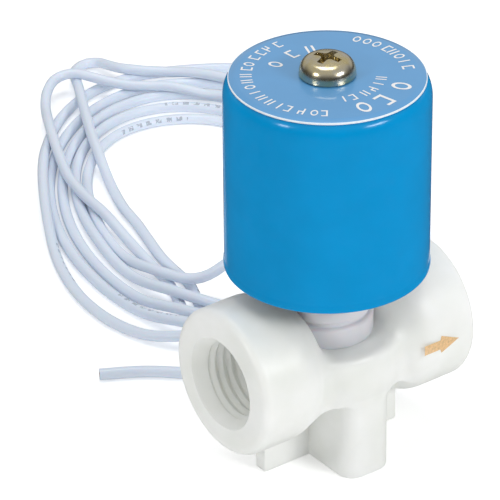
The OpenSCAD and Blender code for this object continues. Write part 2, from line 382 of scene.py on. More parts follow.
def sky_enamel(props):
    """Stoved gloss enamel on drawn steel: a smooth wet-looking coat, a little uneven in its gloss."""
    made, tree, shader = finish_named(
        "Sky blue enamel on steel", props.paint, IOR=1.25, Roughness=0.13, Specular_IOR_Level=0.8)
    deeper = [c * 0.93 for c in props.paint]
    tint(tree, shader, spread_over(tree, grain(tree, 6), 0, 1), deeper, props.paint)
    tree.links.new(spread_over(tree, grain(tree, 1.6), 0.13, 0.2), shader.inputs["Roughness"])
    return made


def label_film(props):
    """Printed polyester film: flat blue ink under a glossy clear face."""
    made, tree, shader = finish_named(
        "Polyester label film", props.film, IOR=1.5, Roughness=0.4,
        Coat_Weight=1.0, Coat_Roughness=0.05)
    deeper = [c * 0.95 for c in props.film]
    tint(tree, shader, spread_over(tree, grain(tree, 5), 0, 1), deeper, props.film)
    bump(tree, shader, grain(tree, 4, detail=1.0), 0.01)
    return made


def print_ink(name, colour, patchy=0.0):
    """Screen print: matt ink, a little uneven in its cover."""
    made, tree, shader = finish_named(name, colour, Roughness=0.5)
    if patchy:
        cover = spread_over(tree, grain(tree, 0.35), 1 - patchy, 1)
        tree.links.new(cover, shader.inputs["Alpha"])
    tint(tree, shader, spread_over(tree, grain(tree, 0.6), 0, 1), [c * 0.9 for c in colour], colour)
    return made


def yellow_zinc(props):
    """Zinc plate with a pale yellow chromate: bright metal with soft straw and pale grey patches."""
    made, tree, shader = finish_named(
        "Yellow-passivated zinc", props.plating, Metallic=1.0, Roughness=0.24)
    tint(tree, shader, spread_over(tree, grain(tree, 1.4), 0, 1), props.plating, srgb("#C9C3B4"))
    tree.links.new(spread_over(tree, grain(tree, 0.8), 0.17, 0.28), shader.inputs["Roughness"])
    bump(tree, shader, grain(tree, 0.6, detail=1.0), 0.001)
    return made


def turned_acetal(colour):
    """Acetal turned on a lathe: satin, pale grey-white, with very fine rings; the grey in the colour given
    is painted shade.
    """
    made, tree, shader = finish_named(
        "Acetal, turned", colour, IOR=1.48, Roughness=0.4,
        Subsurface_Weight=0.25, Subsurface_Scale=1.5 * MM)
    rings = grain(tree, 0.18, stretch=(0.02, 0.02, 1), detail=1.0)
    tree.links.new(spread_over(tree, grain(tree, 1.5), 0.34, 0.46), shader.inputs["Roughness"])
    bump(tree, shader, rings, 0.01)
    return made


def repeating(tree, place, spacing, share):
    """A pattern that is 1 over the first share of each spacing, and 0 over the rest."""
    cells = add_node(tree, "ShaderNodeMath", {"operation": "DIVIDE"}, {0: place, 1: spacing})
    within = add_node(tree, "ShaderNodeMath", {"operation": "FRACT"}, {0: cells.outputs[0]})
    marked = add_node(tree, "ShaderNodeMath", {"operation": "LESS_THAN"}, {0: within.outputs[0], 1: share})
    return marked.outputs[0]


def lead_vinyl(props):
    """Extruded vinyl insulation: pale bluish white, half gloss, with a printed row of grey marks."""
    made, tree, shader = finish_named(
        "Vinyl lead insulation", props.colour, IOR=1.52, Roughness=0.34,
        Subsurface_Weight=0.15, Subsurface_Scale=0.8 * MM)
    uv = add_node(tree, "ShaderNodeUVMap", {"uv_map": "along"}).outputs[0]
    along, round_it, _ = add_node(tree, "ShaderNodeSeparateXYZ", None, {0: uv}).outputs
    # Groups of short marks: one group each 120 mm, 13 mm long, with a mark each 1.9 mm.
    group = repeating(tree, along, 120 * MM, 0.11)
    mark = repeating(tree, along, 1.9 * MM, 0.55)
    # The marks lie on one side of the lead, and are worn away in spots.
    aside = add_node(tree, "ShaderNodeMath", {"operation": "SUBTRACT"}, {0: round_it, 1: 0.25})
    away = add_node(tree, "ShaderNodeMath", {"operation": "ABSOLUTE"}, {0: aside.outputs[0]})
    across = add_node(tree, "ShaderNodeMath", {"operation": "LESS_THAN"}, {0: away.outputs[0], 1: 0.07})
    worn = add_node(tree, "ShaderNodeMath", {"operation": "GREATER_THAN"}, {0: grain(tree, 0.5), 1: 0.46})
    shade = group
    for factor in (mark, across.outputs[0], worn.outputs[0], 0.55):
        shade = add_node(tree, "ShaderNodeMath", {"operation": "MULTIPLY"}, {0: shade, 1: factor}).outputs[0]
    tint(tree, shader, shade, props.colour, props.ink)
    bump(tree, shader, grain(tree, 0.4, detail=2.0), 0.006)
    return made


def plain_metal(name, colour, roughness, size_mm, stretch=(1, 1, 1)):
    """Bare or plated steel with the marks of its forming."""
    made, tree, shader = finish_named(name, srgb(colour), Metallic=1.0, Roughness=roughness)
    pattern = grain(tree, size_mm, stretch)
    uneven = spread_over(tree, pattern, roughness * 0.75, roughness * 1.25)
    tree.links.new(uneven, shader.inputs["Roughness"])
    bump(tree, shader, pattern, 0.006)
    return made


def plain_plastic(name, colour, roughness, size_mm):
    """A moulded or pressed part that isn't metal, with a fine grain."""
    made, tree, shader = finish_named(name, srgb(colour), Roughness=roughness)
    pattern = grain(tree, size_mm)
    deeper = [c * 0.86 for c in srgb(colour)]
    tint(tree, shader, spread_over(tree, pattern, 0, 1), deeper, srgb(colour))
    bump(tree, shader, pattern, 0.02)
    return made


def wound_copper():
    """Enamelled copper wire in even layers: coppery gloss in fine level grooves."""
    made, tree, shader = finish_named(
        "Enamelled copper wire", srgb("#B5653A"), Metallic=0.9, Roughness=0.3, Coat_Weight=0.5)
    place = add_node(tree, "ShaderNodeTexCoord").outputs["Object"]
    wave = add_node(tree, "ShaderNodeTexWave", {"bands_direction": "Z", "wave_profile": "SIN"}, {
        "Vector": place, "Scale": 0.314 / (0.25 * MM), "Distortion": 0.0})
    bump(tree, shader, wave.outputs["Fac"], 0.06)
    return made


# ---------------------------------------------------------------- settings
class ValveStageSettings(bpy.types.PropertyGroup):
    floor: bpy.props.FloatVectorProperty(
        name="Floor", description="Colour of the floor", subtype="COLOR", default=srgb("#FAFAFA"))
    key: bpy.props.FloatProperty(
        name="Key light", description="Power of the large light on the right", default=1.2, unit="POWER")
    fill: bpy.props.FloatProperty(
        name="Fill light", description="Power of the light on the left", default=0.6, unit="POWER")
    top: bpy.props.FloatProperty(
        name="Top light", description="Power of the light overhead", default=1.8, unit="POWER")
    sky: bpy.props.FloatProperty(
        name="Room light", description="Strength of the even light all round", default=0.58, min=0)


class ValveBodySettings(bpy.types.PropertyGroup):
    colour: bpy.props.FloatVectorProperty(
        name="Plastic", description="Colour of the moulded body", subtype="COLOR", default=srgb("#F3F4F2"))
    milkiness: bpy.props.FloatProperty(
        name="Milkiness", description="How far light spreads in the body", default=0.35, min=0, max=1)
    fillet: bpy.props.FloatProperty(
        name="Fillet", description="Width of the fillets between drum and bosses, in mm",
        default=2.6, min=1, max=8)
    pitch: bpy.props.FloatProperty(
        name="Thread pitch", description="Pitch of the port threads, in mm", default=1.411, min=0.5, max=3)
    mouth: bpy.props.FloatProperty(
        name="Mouth radius", description="Radius of the countersink at the port's face, in mm",
        default=7.15, min=6, max=8)


class ValveCoilSettings(bpy.types.PropertyGroup):
    paint: bpy.props.FloatVectorProperty(
        name="Paint", description="Colour of the coil can", subtype="COLOR", default=srgb("#0090CE"))
    film: bpy.props.FloatVectorProperty(
        name="Label", description="Colour of the label's film", subtype="COLOR", default=srgb("#4F97CE"))
    plating: bpy.props.FloatVectorProperty(
        name="Plating", description="Colour of the screw's plating", subtype="COLOR",
        default=srgb("#CFC08E"))


class ValveLeadSettings(bpy.types.PropertyGroup):
    colour: bpy.props.FloatVectorProperty(
        name="Insulation", description="Colour of the leads", subtype="COLOR", default=srgb("#D9E3F1"))
    ink: bpy.props.FloatVectorProperty(
        name="Print", description="Colour of the leads' printed marks", subtype="COLOR",
        default=srgb("#77808F"))
    slope: bpy.props.FloatProperty(
        name="Slope", description="How steeply one lead climbs over another", default=0.22, min=0.05, max=1)


# ---------------------------------------------------------------- pieces
def soft_box(name, position, aim, width, height, power):
    """A soft box light."""
    light = bpy.data.lights.new(name, "AREA")
    light.shape, light.size, light.size_y, light.energy = "RECTANGLE", width * MM, height * MM, power
    made = bpy.data.objects.new(name, light)
    made.location = Vector(position) * MM
    made.rotation_euler = (Vector(aim) - Vector(position)).to_track_quat("-Z", "Y").to_euler()
    bpy.context.scene.collection.objects.link(made)
    return made


def paper_floor(props):
    """The plain pale floor."""
    half = 2000
    corners = [(x * half, y * half, 0) for x, y in ((-1, -1), (1, -1), (1, 1), (-1, 1))]
    floor = obj_from("floor", corners, [(0, 1, 2, 3)])
    made, tree, shader = finish_named(
        "Pale paper floor", props.floor, Roughness=0.7, Emission_Strength=0.26)
    shader.inputs["Emission Color"].default_value = (1, 1, 1, 1)
    tint(tree, shader, grain(tree, 60), [c * 0.985 for c in props.floor], props.floor)
    painted(floor, made)
    # The floor is hidden from reflections, so shiny faces show the room's dark low part instead.
    floor.visible_glossy = False


def studio_room(scene, strength):
    """The light all round: dark low down and in front, light overhead and behind."""
    world = bpy.data.worlds.new("Even studio light")
    scene.world = world
    world.use_nodes = True
    tree = world.node_tree
    ground = tree.nodes["Background"]
    ground.inputs["Strength"].default_value = strength
    way = add_node(tree, "ShaderNodeTexCoord").outputs["Generated"]
    height = add_node(tree, "ShaderNodeSeparateXYZ", None, {0: way}).outputs["Z"]
    back = add_node(tree, "ShaderNodeVectorMath", {"operation": "DOT_PRODUCT"}, {
        0: way, 1: TO_THE_BACK}).outputs["Value"]
    # Each share of light rises from its least to 1 while a measure goes from start to end.
    overhead, behind, above = [
        add_node(tree, "ShaderNodeMapRange", {"interpolation_type": "SMOOTHSTEP"}, {
            "Value": measure, "From Min": start, "From Max": end, "To Min": least}).outputs[0]
        for measure, start, end, least in (
            (height, 0.1, 0.75, 0.12), (back, 0.1, 0.7, 0), (height, -0.05, 0.2, 0))]
    lit = add_node(tree, "ShaderNodeMath", {"operation": "MULTIPLY"}, {0: behind, 1: above})
    both = add_node(tree, "ShaderNodeMath", {"operation": "MAXIMUM"}, {0: overhead, 1: lit.outputs[0]})
    tree.links.new(both.outputs[0], ground.inputs["Color"])


# Where the camera stands and what it looks at, in mm, with its lens in mm and its roll in degrees.
# The view looks down about 30 degrees on the inlet port's side.
EYE, AIM = (-296.33, -382.83, 317.92), (-9.01, 6.65, 33.43)
LENS, ROLL = 277.6, -0.486
# The level direction in which the camera looks.
TO_THE_BACK = (0.594, 0.805, 0)


def view_camera(scene):
    """The camera, set as the scene's own."""
    camera = bpy.data.cameras.new("camera")
    camera.lens, camera.sensor_width = LENS, 36
    camera.clip_start, camera.clip_end = 0.01, 10
    eye, aim = Vector(EYE) * MM, Vector(AIM) * MM
    seat = bpy.data.objects.new("camera", camera)
    facing = (aim - eye).to_track_quat("-Z", "Y").to_matrix().to_4x4()
    roll = Matrix.Rotation(math.radians(ROLL), 4, "Z")
    seat.matrix_world = Matrix.Translation(eye) @ facing @ roll
    scene.collection.objects.link(seat)
    scene.camera = seat


class VALVE_OT_stage(bpy.types.Operator):
    """Makes the floor, the lights and the camera"""
    bl_idname = "valve.stage"
    bl_label = "Stage"

    def execute(self, context):
        props = context.scene.valve_stage
        paper_floor(props)
        context.scene.view_settings.view_transform = "Standard"
        studio_room(context.scene, props.sky)
        middle = (0, 0, 40)
        soft_box("key_light", (160, -475, 300), middle, 200, 80, props.key)
        soft_box("fill_light", (-500, -30, 300), middle, 100, 80, props.fill)
        soft_box("top_light", (60, 120, 760), middle, 420, 420, props.top)
        view_camera(context.scene)
        return {"FINISHED"}


# Routes of the free lengths in the leads' own frame, in mm: r, d and height.
RUN_A = [(-1.2, 16.2, 36.6), (-1.2, 19, 36.5), (-1.3, 22, 35.9), (-1.4, 25, 34.2), (-1.5, 28, 31),
         (-1.6, 31, 26.6), (-1.6, 34.5, 21), (-1.7, 38, 15.6), (-2.1, 41.2, 10.6), (-3.2, 43.8, 6.4),
         (-5.6, 44.8, 3.2), (-8.8, 43.8, 1.5), (-12.4, 42.2, 0.9), (-16, 41.6, 0.9)]
RUN_B = [(1.2, 16.2, 36.6), (1.2, 19, 36.5), (1.2, 22, 35.8), (1.2, 25, 34), (1.2, 28, 30.7),
         (1.3, 31, 26.2), (1.5, 34.5, 20.6), (1.8, 38.5, 15), (2.1, 43, 10), (1.8, 48, 6.4),
         (0.8, 53.5, 4), (-1.2, 60, 2.6), (-3.6, 67, 1.6), (-5.8, 74, 1), (-7, 80.4, 0.9),
         (-6, 85.6, 0.9), (-2.6, 87.8, 0.9), (0.7, 85.8, 0.9), (2, 81.2, 0.9), (2.5, 76, 0.9)]
# The last turn of each lead comes from under the coil's near side and lies slantwise over its left:
# r and d on the floor.
LAST_A = [(14.8, 53), (13.8, 43), (10.4, 34), (4.2, 26.4), (-3, 22.6), (-10, 21.8), (-15.2, 24.6),
          (-18.4, 31), (-20.4, 38), (-22.2, 44.2), (-24.6, 48.2), (-27, 52.4), (-29.4, 58.2),
          (-31.6, 63.6), (-33.9, 68.4), (-36.1, 74.8), (-38.1, 81.3), (-40, 88.2), (-41.5, 95.4),
          (-42.9, 102.8), (-44.1, 109.6), (-44.8, 113.6), (-44.9, 117), (-43.3, 119.4), (-40.9, 119.2),
          (-38.9, 117), (-36.6, 115), (-33.2, 114.2), (-29.6, 114.4), (-22, 112.6), (-15, 109.2),
          (-9.5, 102.6), (-8, 94), (-8.6, 84), (-8.7, 72)]
LAST_B = [(10.8, 53), (12.4, 45), (13.2, 36.6), (10.8, 28.6), (4, 22.6), (-4, 19.4), (-11, 18.8),
          (-16.8, 21.8), (-20.6, 29), (-23, 36.4), (-24.6, 42), (-26.5, 46.4), (-28.6, 50.2),
          (-32.2, 56.8), (-35.9, 62.6), (-40, 68.6), (-43.2, 75), (-45.2, 81.8), (-46.8, 88.6),
          (-48.2, 95.4), (-49.2, 102.4), (-49.1, 106.2), (-47.8, 109.4), (-45.2, 110.6), (-41, 109.6),
          (-35, 108.4), (-28, 108), (-20, 105.6), (-10, 101), (0, 94.6), (8.4, 85.6), (13.4, 74),
          (15.2, 61), (15.4, 48), (14.8, 37), (12.4, 28), (8, 21.6), (2, 18), (-5, 16.2), (-13, 15.9),
          (-22.2, 17.6), (-28.7, 17.9), (-35, 17)]
# Each turn: middle r and d, half width, half length, lean in degrees, squareness.
TURNS_A = [(-20.2, 70.4, 18.9, 29.6, 16, 2.2), (-18.7, 69.4, 24.6, 39.9, 15, 2),
           (-17.1, 72.1, 30, 46.2, 7.5, 2.6)]
TURNS_B = [(-19.1, 69.4, 21.5, 35.4, 18, 2.1), (-18.1, 69.9, 27.5, 43.5, 14, 2)]
# Angles in degrees at which each coil starts and ends, and the angle from which turns are counted.
SWEEP_A, SWEEP_B = (-110, -1090), (-8, -730)
COUNT_FROM = 60
TURN_STEPS = 24
# How many of the last turn's first points lie under whatever crosses them.
HIDDEN_A, HIDDEN_B = 11, 13
LEADS = {"a": (RUN_A, TURNS_A, SWEEP_A, LAST_A, HIDDEN_A), "b": (RUN_B, TURNS_B, SWEEP_B, LAST_B, HIDDEN_B)}


def coil_turns(turns, start, end):
    """Points of a coil that runs clockwise between two angles, and how many turns each has passed."""
    count = int(round((start - end) / 360 * TURN_STEPS))
    out, passes = [], []
    for i in range(count + 1):
        angle = start + (end - start) * i / count
        passed = (COUNT_FROM - angle) / 360
        whole = int(passed)
        passes.append(whole)
        # The shape changes from one turn's to the next in the first third of each turn.
        share = min((passed - whole) * 3, 1)
        share = share * share * (3 - 2 * share)
        before, after = turns[max(whole - 1, 0)], turns[min(whole, len(turns) - 1)]
        r0, d0, a, b, lean, n = np.array(before) * (1 - share) + np.array(after) * share
        lean = math.radians(lean)
        c, s = math.cos(math.radians(angle)), math.sin(math.radians(angle))
        x = a * math.copysign(abs(c) ** (2 / n), c)
        y = b * math.copysign(abs(s) ** (2 / n), s)
        out.append((r0 + x * math.cos(lean) - y * math.sin(lean),
                    d0 + x * math.sin(lean) + y * math.cos(lean), LEAD_D / 2))
    return out, passes


def ranked_route(lead, run, turns, sweep, last, hidden):
    """Waypoints of one whole lead, with a rank for each: what has a higher rank was laid later."""
    coil, passes = coil_turns(turns, *sweep)
    ranks = [lead] * len(run) + [2 * p + lead if p < len(turns) else -1 - lead for p in passes]
    ranks += [-1 - lead] * hidden + [6 + lead] * (len(last) - hidden)
    return run + coil + [(r, d, LEAD_D / 2) for r, d in last], ranks


def spline(points, marks, step):
    """A smooth curve through points, with new points a step apart, and the mark each of them has passed."""
    p = np.array(points, float)
    p = np.vstack([2 * p[0] - p[1], p, 2 * p[-1] - p[-2]])
    out = []
    for i in range(1, len(p) - 2):
        knots = [0.0]
        for j in range(3):
            knots.append(knots[-1] + max(np.linalg.norm(p[i + j] - p[i + j - 1]), 1e-6) ** 0.5)
        t = np.linspace(knots[1], knots[2], 12, endpoint=False)[:, None]
        t0, t1, t2, t3 = knots
        a1 = (t1 - t) / (t1 - t0) * p[i - 1] + (t - t0) / (t1 - t0) * p[i]
        a2 = (t2 - t) / (t2 - t1) * p[i] + (t - t1) / (t2 - t1) * p[i + 1]
        a3 = (t3 - t) / (t3 - t2) * p[i + 1] + (t - t2) / (t3 - t2) * p[i + 2]
        b1 = (t2 - t) / (t2 - t0) * a1 + (t - t0) / (t2 - t0) * a2
        b2 = (t3 - t) / (t3 - t1) * a2 + (t - t1) / (t3 - t1) * a3
        out.append((t2 - t) / (t2 - t1) * b1 + (t - t1) / (t2 - t1) * b2)
    line = np.vstack(out + [p[-2:-1]])
    along = np.concatenate([[0], np.cumsum(np.linalg.norm(np.diff(line, axis=0), axis=1))])
    at = np.linspace(0, along[-1], int(along[-1] / step) + 1)
    passed = np.searchsorted(along[::12], at, side="right") - 1
    return np.stack([np.interp(at, along, line[:, k]) for k in range(3)], 1), np.array(marks)[passed]


def lay_over(routes, ranks, thick, slope):
    """Lifts each length of lead over those of lower rank that it crosses, in long low humps."""
    plan = np.concatenate([r[:, :2] for r in routes])
    base = np.concatenate([r[:, 2] for r in routes])
    owner = np.concatenate([np.full(len(r), k) for k, r in enumerate(routes)])
    index = np.concatenate([np.arange(len(r)) for r in routes])
    order = np.concatenate(ranks)
    step = np.linalg.norm(routes[0][1] - routes[0][0])
    apart = np.linalg.norm(plan[:, None] - plan[None], axis=2)
    gap = thick * 1.06
    under = (apart < gap) & (order[None] < order[:, None]) & (base[None] < 3 * thick)
    same = owner[None] == owner[:, None]
    under &= ~(same & (np.abs(index[:, None] - index[None]) < 4 * thick / step))
    rise = np.sqrt(np.maximum(gap * gap - apart * apart, 0))
    z = base.copy()
    reach = int(12 * thick / step)
    offsets = np.arange(-reach, reach + 1)
    bell = np.exp(-0.5 * (offsets * step / (1.3 * thick)) ** 2)
    bell /= bell.sum()
    for _ in range(10):
        need = np.maximum(base, np.where(under, z[None] + rise, 0).max(1))
        for k in range(len(routes)):
            mine = owner == k
            pad = np.pad(need[mine], reach, mode="edge")
            shifted = np.stack([pad[reach + o:reach + o + mine.sum()]
                                - slope * step * max(0, abs(o) - 0.5 * thick / step) for o in offsets])
            hump = np.pad(shifted.max(0), reach, mode="edge")
            z[mine] = np.maximum(np.convolve(hump, bell, mode="valid"), base[mine])
    return [np.column_stack([r[:, :2], z[owner == k]]) for k, r in enumerate(routes)]


def tube(name, line, radius, core, sides=14):
    """A tube along a line, with UVs along and round it, and an end cut to show a hollow for the core."""
    count = len(line)
    ahead = np.gradient(line, axis=0)
    ahead /= np.linalg.norm(ahead, axis=1)[:, None]
    up = np.array((0.0, 0, 1)) - ahead[0] * ahead[0][2]
    ups = []
    for t in ahead:
        up = up - t * (up @ t)
        up /= np.linalg.norm(up)
        ups.append(up)
    ups = np.array(ups)
    right = np.cross(ahead, ups)
    turn = np.arange(sides) * 2 * math.pi / sides
    rings = [line + radius * (math.cos(a) * right + math.sin(a) * ups) for a in turn]
    points = np.stack(rings, 1).reshape(-1, 3).tolist()
    along = np.concatenate([[0], np.cumsum(np.linalg.norm(np.diff(line, axis=0), axis=1))]) * MM
    faces, uvs = [], []
    for i in range(count - 1):
        for k in range(sides):
            m = (k + 1) % sides
            faces.append((i * sides + k, i * sides + m, (i + 1) * sides + m, (i + 1) * sides + k))
            uvs += [(along[i], k / sides), (along[i], (k + 1) / sides),
                    (along[i + 1], (k + 1) / sides), (along[i + 1], k / sides)]
    faces.append(tuple(range(sides))[::-1])
    uvs += [(0, 0.6)] * sides
    last, hole = (count - 1) * sides, len(points)
    for depth in (0, 0.35):
        for a in turn:
            spoke = math.cos(a) * right[-1] + math.sin(a) * ups[-1]
            points.append(line[-1] - ahead[-1] * depth + core * spoke)
    for k in range(sides):
        m = (k + 1) % sides
        faces.append((last + k, last + m, hole + m, hole + k))
        faces.append((hole + k, hole + m, hole + sides + m, hole + sides + k))
        uvs += [(0, 0.6)] * 8
    faces.append(tuple(hole + sides + k for k in range(sides)))
    uvs += [(0, 0.6)] * sides
    made = obj_from(name, points, faces)
    layer = made.data.uv_layers.new(name="along")
    layer.data.foreach_set("uv", np.array(uvs, np.float32).ravel())
    return smooth(made, 60), ahead[-1]


def strand_end(name, tip, ahead, core, strands=7):
    """The cut end of the copper strands inside a lead."""
    parts = []
    side = Vector(ahead).orthogonal().normalized()
    other = Vector(ahead).cross(side)
    thin = core / 3.05
    for i in range(strands):
        angle = 2 * math.pi * i / (strands - 1)
        away = 0 if i == strands - 1 else 2 * thin
        centre = Vector(tip) + away * (math.cos(angle) * side + math.sin(angle) * other)
        ring, points, faces = 8, [], []
        for depth in (0.5, 0.05, 0):
            r = thin if depth else thin * 0.7
            for k in range(ring):
                a = 2 * math.pi * k / ring
                spoke = math.cos(a) * side + math.sin(a) * other
                points.append(centre - Vector(ahead) * depth + r * spoke)
        for row in range(2):
            for k in range(ring):
                m = (k + 1) % ring
                faces.append((row * ring + k, row * ring + m, (row + 1) * ring + m, (row + 1) * ring + k))
        faces += [tuple(range(ring))[::-1], tuple(2 * ring + k for k in range(ring))]
        parts.append(obj_from("strand", points, faces))
    return smooth(outwards(joined(name, parts)))


class VALVE_OT_leads(bpy.types.Operator):
    """Makes the two leads with their loose coil and cut ends"""
    bl_idname = "valve.leads"
    bl_label = "Leads"

    def execute(self, context):
        props = context.scene.valve_leads
        vinyl = lead_vinyl(props)
        copper = plain_metal("Cut copper strand", "#B87348", 0.35, 0.2)
        core, step = 0.5, 1.1
        routes, ranks = zip(*[spline(*ranked_route(lead, *laid), step)
                              for lead, laid in enumerate(LEADS.values())])
        turn = Matrix.Rotation(math.radians(LAY_TURN), 3, "Z")
        for letter, route in zip(LEADS, lay_over(routes, ranks, LEAD_D, props.slope)):
            line = route @ np.array(turn).T
            lead, ahead = tube(f"lead_{letter}", line, LEAD_D / 2, core)
            painted(lead, vinyl)
            end = strand_end(f"lead_{letter}_strands", line[-1], ahead, core)
            painted(end, copper)
            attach(lead, VALVE)
            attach(end, VALVE)
            nodes = [f"lead_wire_{letter}", f"lead_tail_{letter}"] + (["lead_coil"] if letter == "a" else [])
            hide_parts(*nodes)
        return {"FINISHED"}


def body_field(p, fillet):
    """The moulded body without its holes."""
    q = np.stack([np.abs(p[..., 0]), np.abs(p[..., 1]), p[..., 2]], -1)
    cone_x, cone_r, rise = 6, 8, 3.3 / 4
    drum_r, drum_middle, drum_half, drum_low = 10.8, 14.5, 6, 12.7
    foot_half, edge = 6.8, 0.25
    boss = rod(q, 0, ((PORT_X + cone_x) / 2, 0, PORT_Z), BOSS_R, (PORT_X - cone_x) / 2, 1.35)
    across = np.hypot(q[..., 1], q[..., 2] - PORT_Z)
    cone = (across - cone_r - (q[..., 0] - cone_x) * rise) / math.hypot(1, rise)
    drum = np.maximum(rod(q, 2, (0, 0, drum_middle), drum_r, drum_half, 1.1), drum_low - q[..., 2])
    solid = soft_min(-soft_min(-boss, -cone, 1.5), drum, fillet)
    web = block(q, (0, 0, foot_half), (12.4, 1.2, foot_half), edge)
    foot = block(q, (0, 0, foot_half), (4.2, 10.9, foot_half), edge, 2.7)
    return soft_min(solid, np.minimum(web, foot), 0.8)


def thread_tool(name, pitch, mouth, segments=144):
    """What is cut out of one port: a taper thread with a countersink, along +X."""
    bore_floor, thread_end, proud = 7.95, 9.2, 0.3
    depth, deep, per_pitch = 0.4, PORT_X - bore_floor, 8
    rows = int(deep / pitch * per_pitch)
    points, faces = [], []
    for i in range(rows + 1):
        x = PORT_X + proud - (deep + proud) * i / rows
        for k in range(segments):
            turn = k / segments
            phase = (x / pitch - turn) % 1
            crest = 1 - abs(2 * phase - 1)
            # A pipe thread's radius grows by 1 in 32.
            taper = (x - bore_floor) / 32
            r = MINOR_R - 0.15 + taper + depth * np.clip(crest * 1.25 - 0.12, 0, 1)
            if x < thread_end:
                r = MINOR_R - 0.1
            r = max(r, mouth + (x - PORT_X) * 0.52)
            a = 2 * math.pi * turn
            points.append((x, r * math.cos(a), r * math.sin(a) + PORT_Z))
    for i in range(rows):
        here, nxt = i * segments, (i + 1) * segments
        for k in range(segments):
            m = (k + 1) % segments
            faces.append((here + k, here + m, nxt + m, nxt + k))
    faces += [tuple(range(segments)), tuple(rows * segments + k for k in range(segments))]
    return outwards(obj_from(name, points, faces))


def bar_tool(radius, start, end):
    """A plain round cutter between two points."""
    bm = bmesh.new()
    start, end = Vector(start), Vector(end)
    bmesh.ops.create_cone(bm, cap_ends=True, segments=48, radius1=radius * MM, radius2=radius * MM,
                          depth=(end - start).length * MM)
    mesh = bpy.data.meshes.new("bar")
    bm.to_mesh(mesh)
    bm.free()
    facing = (end - start).to_track_quat("Z", "Y").to_matrix().to_4x4()
    mesh.transform(Matrix.Translation((start + end) / 2 * MM) @ facing)
    made = bpy.data.objects.new("bar", mesh)
    bpy.context.scene.collection.objects.link(made)
    return made


def body_tools(props):
    """What is cut out of the body: two ports, the bore for the neck, flow passages and screw holes."""
    outlet = thread_tool("outlet", props.pitch, props.mouth)
    inlet = thread_tool("inlet", props.pitch, props.mouth)
    turned(inlet, Matrix.Rotation(math.pi, 4, "Z"))
    inlet_z, outlet_z, passage_end = 16.7, 13.7, 9
    tools = [outlet, inlet,
             bar_tool(NECK_R - 0.88, (0, 0, 17.9), (0, 0, 32)),
             bar_tool(1.2, (-passage_end, 0, inlet_z), (-3.3, 0, inlet_z)),
             bar_tool(1.25, (0, 0, outlet_z), (passage_end, 0, outlet_z)),
             bar_tool(1.25, (0, 0, outlet_z), (0, 0, 18.5))]
    tools += [bar_tool(SCREW_HOLE_R, (0, side * SCREW_HOLE_Y, -1), (0, side * SCREW_HOLE_Y, 9))
              for side in (-1, 1)]
    return tools


class VALVE_OT_body(bpy.types.Operator):
    """Makes the moulded body with its ports, foot and flow arrow"""
    bl_idname = "valve.body"
    bl_label = "Body"

    def execute(self, context):
        props = context.scene.valve_body
        room, step = 0.8, 0.34
        body = surface_net("moulded_body", lambda p: body_field(p, props.fillet),
                           BODY_LOW - room, BODY_HIGH + room, step)
        cut_away(body, *body_tools(props))
        smooth(body, 32)
        painted(body, natural_nylon(props))
        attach(body, VALVE)
        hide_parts("valve_body")
        arrow = flow_arrow()
        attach(arrow, VALVE)
        return {"FINISHED"}


def flow_arrow():
    """The printed arrow on the outlet boss, wrapped on the boss's round side."""
    length, width = 6.4, 2.9
    start, centre_angle, lift = 9.5, 0.02, 0.03
    steps, points, faces = 8, [], []
    columns = 24

    def half_at(t):
        return 0.27 if t < 0.5 else 0.5 * (1 - (t - 0.5) / 0.5)

    for i in range(columns + 1):
        t = i / columns
        for j in range(steps + 1):
            s = (j / steps * 2 - 1) * max(half_at(t), 0.01) * width
            angle = centre_angle + s / BOSS_R
            r = BOSS_R + lift
            points.append((start + t * length, -r * math.cos(angle), PORT_Z + r * math.sin(angle)))
    for i in range(columns):
        for j in range(steps):
            a = i * (steps + 1) + j
            faces.append((a, a + steps + 1, a + steps + 2, a + 1))
    made = smooth(obj_from("flow_arrow", points, faces))
    painted(made, print_ink("Orange pad print", srgb("#EFC58D"), 0.3))
    return made


class VALVE_OT_neck(bpy.types.Operator):
    """Makes the stepped neck between body and coil"""
    bl_idname = "valve.neck"
    bl_label = "Neck"

    def execute(self, context):
        low, top = NECK_LOW[2], NECK_HIGH[2]
        bore, spigot, seat, ring, groove = 4.55, NECK_R - 0.9, 20.5, 23.8, 24.6
        neck = lathe("neck_collar", rounded([
            (bore, 19.3, 0), (5.18, 19.3, 0), (5.18, low, 0), (spigot, low, 0.2), (spigot, seat + 0.02, 0),
            (NECK_R, seat + 0.02, 0), (NECK_R, ring, 0.5), (NECK_R - 0.75, ring, 0.15),
            (NECK_R - 0.75, groove, 0.15), (NECK_R - 0.15, groove, 0.4), (NECK_R - 0.15, top, 0.3),
            (bore, top, 0.1)], 5))
        # Painted shade: the grey-lilac colour is the collar's darker look in the can's shadow, in place of a
        # paler plastic.
        painted(neck, turned_acetal(srgb("#D9D9DE")))
        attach(neck, VALVE)
        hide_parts("bonnet")
        return {"FINISHED"}


class VALVE_OT_can(bpy.types.Operator):
    """Makes the painted coil can with the grommet for the leads"""
    bl_idname = "valve.can"
    bl_label = "Coil can"

    def execute(self, context):
        props = context.scene.valve_coil
        low, top, wall = CAN_LOW[2], CAN_HIGH[2], 0.8
        bead_r, hole_r = CAN_R + 0.12, 2.2
        # The drawn shoulder is longer downwards than it is wide.
        across, down = 1.6, 3
        shoulder = [(CAN_R - across + across * math.sin(a), top - down + down * math.cos(a), 0)
                    for a in np.linspace(0, math.pi / 2, 14)]
        side = [(CAN_R, low + 1.3, 0.9), (bead_r, low + 0.7, 0.5), (bead_r, low, 0.35)]
        inside = [(CAN_R - wall, low, 0.3), (CAN_R - wall, top - wall, 0.5), (hole_r, top - wall, 0)]
        outline = rounded([(hole_r, top, 0)] + shoulder + side + inside, 8)
        can = lathe("coil_can", outline, 240)
        gland = grommet()
        painted(can, sky_enamel(props))
        cut_away(can, slot_tool())
        smooth(can, 32)
        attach(can, VALVE)
        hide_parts("coil_housing")
        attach(gland, VALVE)
        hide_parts("lead_grommet")
        return {"FINISHED"}


